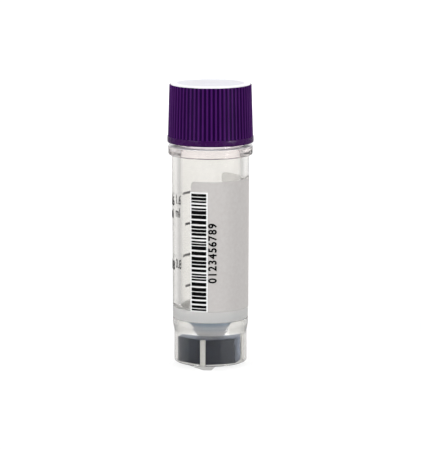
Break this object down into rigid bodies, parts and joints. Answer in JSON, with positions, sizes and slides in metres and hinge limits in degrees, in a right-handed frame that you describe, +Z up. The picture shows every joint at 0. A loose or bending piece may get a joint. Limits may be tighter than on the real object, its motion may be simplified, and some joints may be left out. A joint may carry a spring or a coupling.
{
  "type": "cryovial",
  "caption": "Clear self-standing sample vial with a ribbed external screw cap, white cap insert, dark hexagonal base plug and printed writing area.",
  "frame": {"origin": "centre of the vial's feet, on the surface it stands on", "axes": "+Z up the vial's axis, -Y towards the front, where the bar pattern is"},
  "size_m": [0.014, 0.014, 0.0465],
  "materials": {
    "clear_plastic": "clear, slightly hazy moulded polypropylene",
    "cap_plastic": "deep purple moulded polypropylene",
    "insert_plastic": "white moulded polypropylene",
    "seal_silicone": "soft translucent silicone",
    "plug_plastic": "glossy black moulded polypropylene",
    "white_print": "opaque white ink",
    "patch_print": "matt pale writing ink",
    "black_print": "black ink"
  },
  "bodies": {
    "tube": {"tube": "clear_plastic", "base_insert": "plug_plastic", "code_field": "white_print", "writing_patch": "patch_print", "barcode_panel": "white_print", "barcode_bars": "black_print", "graduations": "black_print"},
    "seal": {"seal": "seal_silicone"},
    "cap": {"cap": "cap_plastic", "cap_insert": "insert_plastic"}
  },
  "joints": [
    {"name": "cap_lift", "type": "slide", "parent": "tube", "child": "seal", "axis": [0, 0, 1], "range_m": [0, 0.012]},
    {"name": "cap_turn", "type": "hinge", "parent": "seal", "child": "cap", "pos_m": [0, 0, 0], "axis": [0, 0, 1], "range_deg": [0, 1440]}
  ],
  "couplings": [
    {"joint": "cap_turn", "follows": "cap_lift", "rad_per_m": 2094.4}
  ]
}
